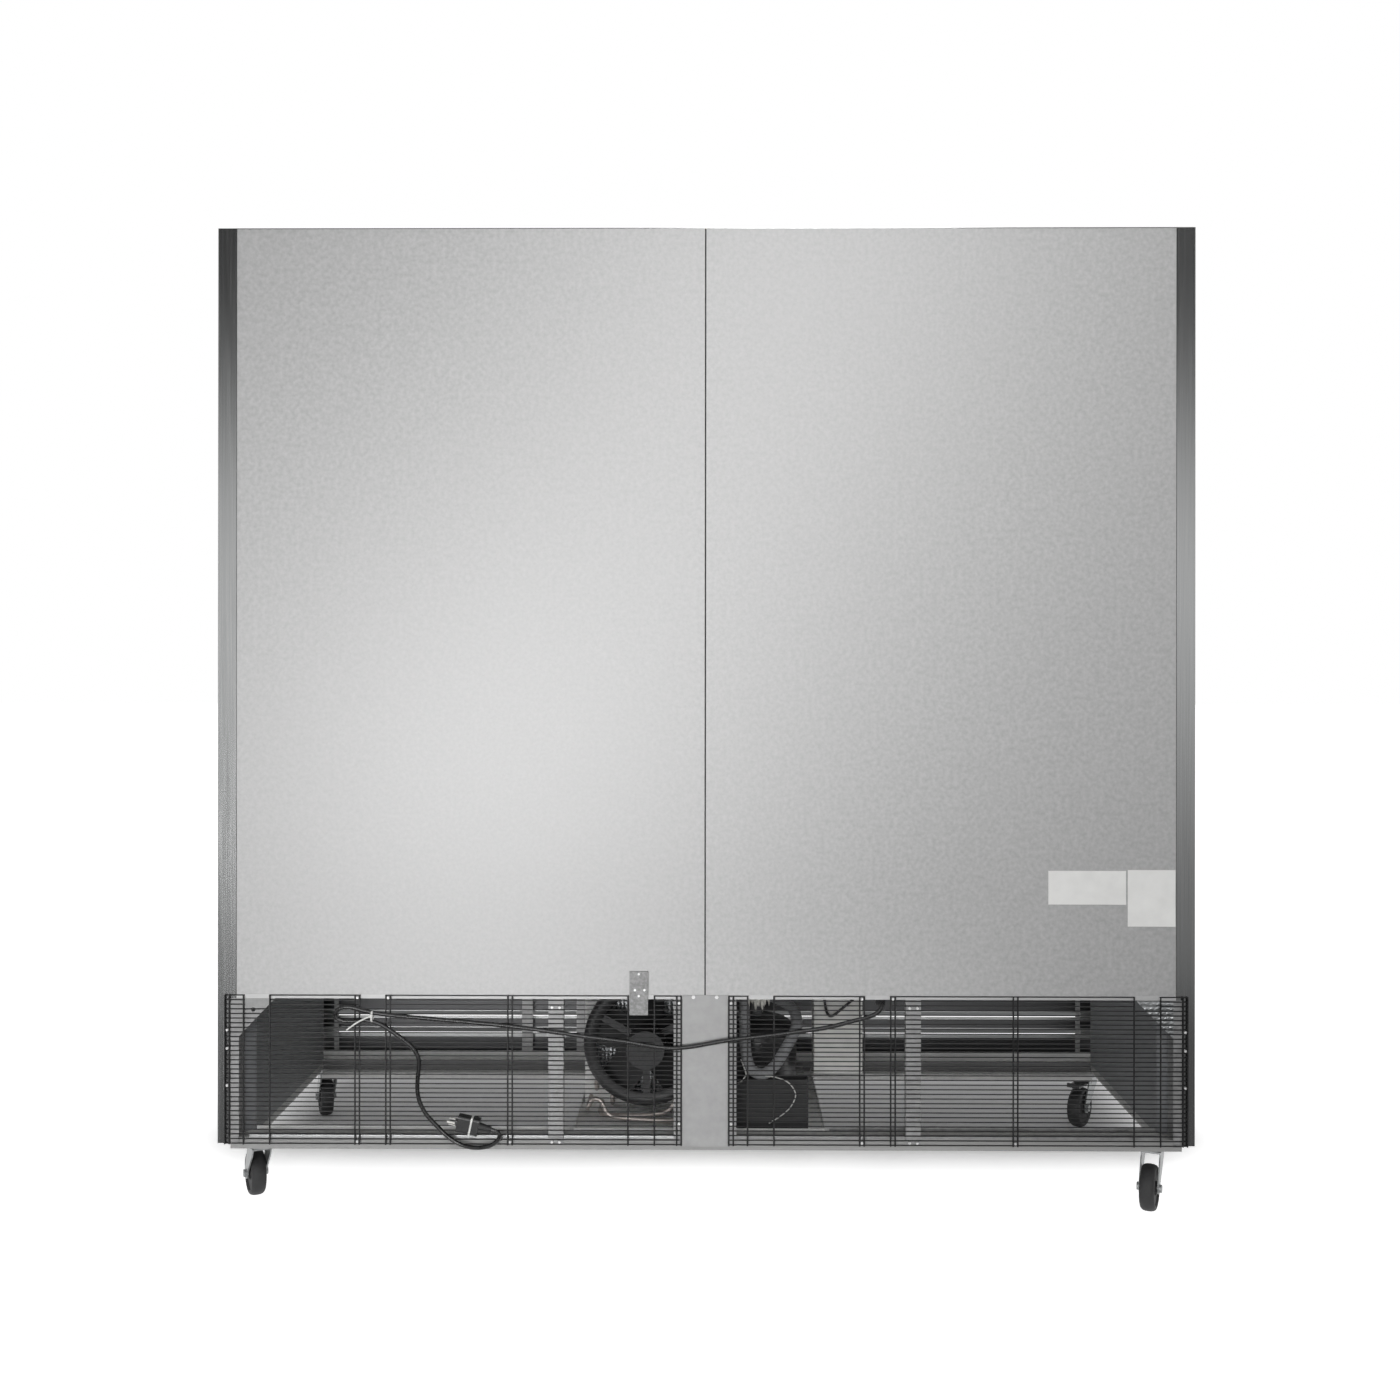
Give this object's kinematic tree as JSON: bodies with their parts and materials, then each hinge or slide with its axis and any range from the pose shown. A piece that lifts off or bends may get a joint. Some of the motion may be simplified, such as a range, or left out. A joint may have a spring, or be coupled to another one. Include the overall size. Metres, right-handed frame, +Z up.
{
  "type": "reach-in freezer",
  "caption": "Wide upright reach-in freezer on swivel casters, with hinged front doors, wire shelves and a wire-guarded condensing unit in the open bay under the cabinet.",
  "frame": {"origin": "middle of the footprint at floor level, under the casters", "axes": "+Z up, doors face -Y, +X to the right of someone who faces the doors"},
  "size_m": [2.057, 0.8585, 2.082],
  "materials": {
    "cabinet_steel": "satin grey sheet",
    "foam": "foam behind the sheets",
    "liner_sheet": "stucco sheet",
    "door_liner": "smooth light grey sheet over foam",
    "stainless": "brushed",
    "galvanised": "galvanised sheet",
    "dark_panel": "dark satin",
    "black_wire": "black coat",
    "zinc": "zinc plate",
    "black_enamel": "gloss black",
    "fin": "mill finish",
    "copper": "bare copper",
    "foam_tube": "matt black foam rubber",
    "black_plastic": "matt black",
    "wheel_rubber": "dark tread",
    "pedal": "black coat",
    "gasket": "soft grey",
    "shelf_wire": "light grey coat",
    "cord": "black jacket"
  },
  "bodies": {
    "cabinet": {"side_panel_right": "cabinet_steel", "side_panel_left": "cabinet_steel", "top_panel": "cabinet_steel", "back_panel_right": "cabinet_steel", "back_panel_left": "cabinet_steel", "bottom_panel": "cabinet_steel", "insulation": "foam", "liner": "liner_sheet", "face_frame": "stainless", "base_frame": "galvanised", "inner_sides": "dark_panel", "corner_posts": "galvanised", "centre_post": "galvanised", "centre_plate": "galvanised", "struts": "galvanised", "guard_right": "black_wire", "guard_left": "black_wire", "screws": "zinc", "hanger_strip": "galvanised", "slide_tray": "galvanised", "compressor": "black_enamel", "condenser": "fin", "fan_shroud": "galvanised", "fan_motor": "black_enamel", "copper_lines": "copper", "suction_tube": "foam_tube", "control_box": "dark_panel", "drain_pan": "black_plastic", "front_grille": "stainless", "caster_plates": "zinc", "hinge_brackets": "stainless", "shelf_row_1": "shelf_wire", "shelf_row_2": "shelf_wire", "shelf_row_3": "shelf_wire", "shelf_supports": "galvanised", "cord": "cord", "plug": "black_plastic", "gland": "black_plastic", "evaporator_cover": "liner_sheet"},
    "left_door": {"door_left": "stainless", "door_left_inner": "door_liner", "door_left_gasket": "gasket"},
    "middle_door": {"door_middle": "stainless", "door_middle_inner": "door_liner", "door_middle_gasket": "gasket"},
    "right_door": {"door_right": "stainless", "door_right_inner": "door_liner", "door_right_gasket": "gasket"},
    "rear_right_fork": {"fork_rear_right": "zinc"},
    "rear_right_wheel": {"wheel_rear_right": "wheel_rubber"},
    "rear_left_fork": {"fork_rear_left": "zinc"},
    "rear_left_wheel": {"wheel_rear_left": "wheel_rubber"},
    "front_right_fork": {"fork_front_right": "zinc"},
    "front_right_wheel": {"wheel_front_right": "wheel_rubber"},
    "front_right_brake": {"brake_front_right": "pedal"},
    "front_left_fork": {"fork_front_left": "zinc"},
    "front_left_wheel": {"wheel_front_left": "wheel_rubber"},
    "front_left_brake": {"brake_front_left": "pedal"},
    "condenser_fan": {"fan_blade": "fin"},
    "cooling_fan": {"evaporator_fan": "black_plastic"}
  },
  "joints": [
    {"name": "left_door_hinge", "type": "hinge", "parent": "cabinet", "child": "left_door", "pos_m": [-1.0125, -0.4016, 1.262], "axis": [0, 0, -1], "range_deg": [0, 105]},
    {"name": "middle_door_hinge", "type": "hinge", "parent": "cabinet", "child": "middle_door", "pos_m": [-0.32617, -0.4016, 1.262], "axis": [0, 0, -1], "range_deg": [0, 105]},
    {"name": "right_door_hinge", "type": "hinge", "parent": "cabinet", "child": "right_door", "pos_m": [1.0125, -0.4016, 1.262], "axis": [0, 0, 1], "range_deg": [0, 105]},
    {"name": "rear_right_swivel", "type": "hinge", "parent": "cabinet", "child": "rear_right_fork", "pos_m": [0.966, 0.3154, 0.12], "axis": [0, 0, 1], "continuous": true},
    {"name": "rear_right_roll", "type": "hinge", "parent": "rear_right_fork", "child": "rear_right_wheel", "pos_m": [0.98643, 0.27531, 0.049], "axis": [-0.891, -0.454, 0], "continuous": true},
    {"name": "rear_left_swivel", "type": "hinge", "parent": "cabinet", "child": "rear_left_fork", "pos_m": [-0.966, 0.3154, 0.12], "axis": [0, 0, 1], "continuous": true},
    {"name": "rear_left_roll", "type": "hinge", "parent": "rear_left_fork", "child": "rear_left_wheel", "pos_m": [-0.9477, 0.35651, 0.049], "axis": [0.9135, -0.4067, 0], "continuous": true},
    {"name": "front_right_swivel", "type": "hinge", "parent": "cabinet", "child": "front_right_fork", "pos_m": [0.966, -0.2846, 0.12], "axis": [0, 0, 1], "continuous": true},
    {"name": "front_right_roll", "type": "hinge", "parent": "front_right_fork", "child": "front_right_wheel", "pos_m": [0.98139, -0.32689, 0.049], "axis": [-0.9397, -0.342, 0], "continuous": true},
    {"name": "front_right_brake_pedal", "type": "hinge", "parent": "front_right_fork", "child": "front_right_brake", "pos_m": [0.97284, -0.30339, 0.107], "axis": [0.9397, 0.342, 0], "range_deg": [0, 12]},
    {"name": "front_left_swivel", "type": "hinge", "parent": "cabinet", "child": "front_left_fork", "pos_m": [-0.966, -0.2846, 0.12], "axis": [0, 0, 1], "continuous": true},
    {"name": "front_left_roll", "type": "hinge", "parent": "front_left_fork", "child": "front_left_wheel", "pos_m": [-0.94019, -0.24774, 0.049], "axis": [0.8192, -0.5736, 0], "continuous": true},
    {"name": "front_left_brake_pedal", "type": "hinge", "parent": "front_left_fork", "child": "front_left_brake", "pos_m": [-0.95453, -0.26822, 0.107], "axis": [-0.8192, 0.5736, 0], "range_deg": [0, 12]},
    {"name": "condenser_fan_spin", "type": "hinge", "parent": "cabinet", "child": "condenser_fan", "pos_m": [0.132, 0.1704, 0.316], "axis": [0, 1, 0], "continuous": true},
    {"name": "cooling_fan_spin", "type": "hinge", "parent": "cabinet", "child": "cooling_fan", "pos_m": [0, 0.1509, 1.924], "axis": [0, 1, 0], "continuous": true}
  ]
}
